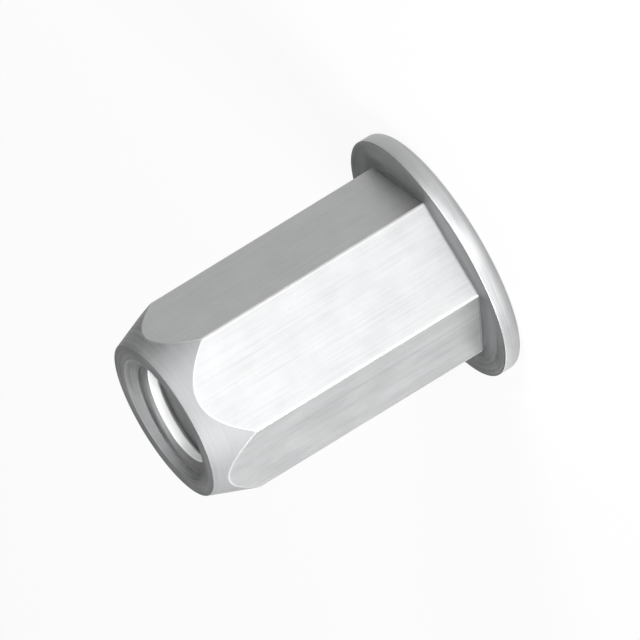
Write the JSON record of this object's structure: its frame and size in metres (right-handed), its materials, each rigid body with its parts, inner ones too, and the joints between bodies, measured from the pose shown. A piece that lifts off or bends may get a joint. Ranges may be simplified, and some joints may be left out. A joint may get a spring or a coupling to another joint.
{
  "type": "rivet nut",
  "caption": "Open-end rivet nut with a full hexagonal body, a thin round flat head, a coned nose and a countersunk M5 thread, set from one side of a sheet.",
  "frame": {"origin": "centre of the head's outer face, on the bore axis, where the part stands", "axes": "+Z along the bore axis, out of the threaded end; two corners of the hexagon lie over the X axis and two flats face +Y and -Y"},
  "size_m": [0.0102, 0.0102, 0.0128],
  "materials": {
    "zinc_plated_steel": "cold-formed and turned steel with thin clear-passivated zinc plating, satin"
  },
  "bodies": {
    "root": {"rivet_nut": "zinc_plated_steel"}
  },
  "joints": []
}
